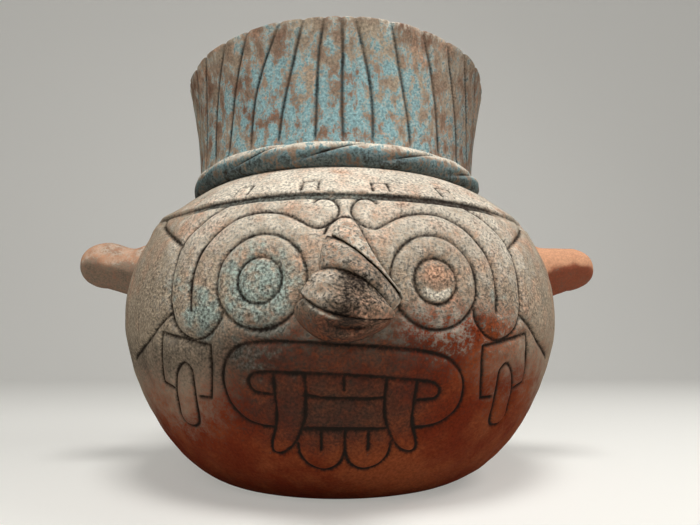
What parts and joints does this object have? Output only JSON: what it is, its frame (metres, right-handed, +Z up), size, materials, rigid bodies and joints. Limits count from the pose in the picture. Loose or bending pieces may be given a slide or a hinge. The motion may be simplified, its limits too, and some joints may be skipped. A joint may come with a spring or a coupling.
{
  "type": "effigy olla jar",
  "caption": "Round-bellied clay storage jar with a flaring pleated neck, a twisted cord at its foot, side lugs and a goggle-eyed face whose nose stands out in slanting rolls",
  "frame": {"origin": "centre of the flat base that the jar stands on", "axes": "+Z up along the jar's axis; -Y the way the face looks; +X towards the lug at the viewer's right"},
  "size_m": [0.394, 0.3332, 0.281],
  "materials": {
    "red_clay": "matt unglazed fired clay, red-brown",
    "whitened_clay": "matt fired clay under a worn chalky white wash",
    "blue_painted_clay": "matt fired clay with worn turquoise paint",
    "orange_clay": "matt unglazed fired clay, orange-brown",
    "sooted_clay": "matt fired clay darkened by soot"
  },
  "bodies": {
    "root": {"base_bowl": "red_clay", "shoulder_shell": "whitened_clay", "neck_collar": "blue_painted_clay", "neck_cord": "blue_painted_clay", "left_lug": "orange_clay", "right_lug": "orange_clay", "nose_bridge_roll": "sooted_clay", "nose_middle_roll": "sooted_clay", "nose_lower_roll": "sooted_clay", "nose_tip": "sooted_clay"}
  },
  "joints": []
}
